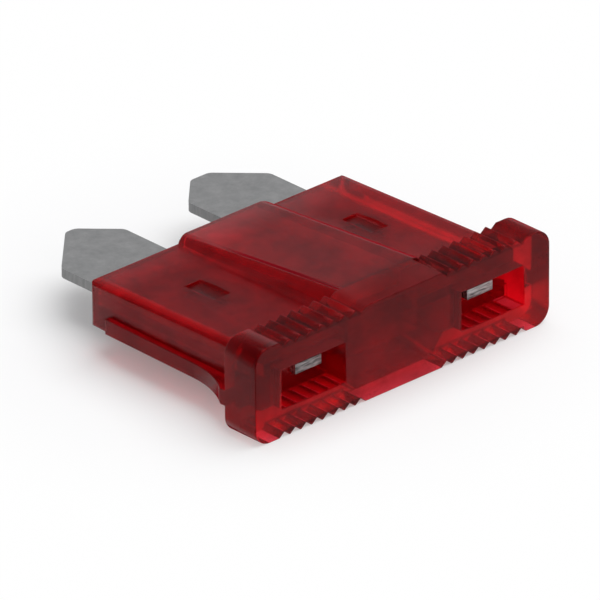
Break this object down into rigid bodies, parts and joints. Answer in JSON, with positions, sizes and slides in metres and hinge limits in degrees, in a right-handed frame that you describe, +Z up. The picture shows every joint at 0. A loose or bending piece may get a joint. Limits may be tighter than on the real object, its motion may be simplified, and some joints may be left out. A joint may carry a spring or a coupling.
{
  "type": "automotive blade fuse",
  "caption": "Regular-size automotive blade fuse: one stamped metal strip with flat blades and test tabs, staked in a clear red plastic housing with a ridged grip head.",
  "frame": {"origin": "centre of the footprint, on the surface that the fuse lies on", "axes": "+X across the width, +Y from the head face to the blade tips, +Z up through the thickness"},
  "size_m": [0.019, 0.0188, 0.005],
  "materials": {
    "clear_red_plastic": "clear red engineering plastic, smooth as moulded",
    "zinc_strip": "dull grey rolled zinc alloy, stamped, with a matte surface"
  },
  "bodies": {
    "root": {"housing": "clear_red_plastic", "fuse_element": "zinc_strip"}
  },
  "joints": []
}
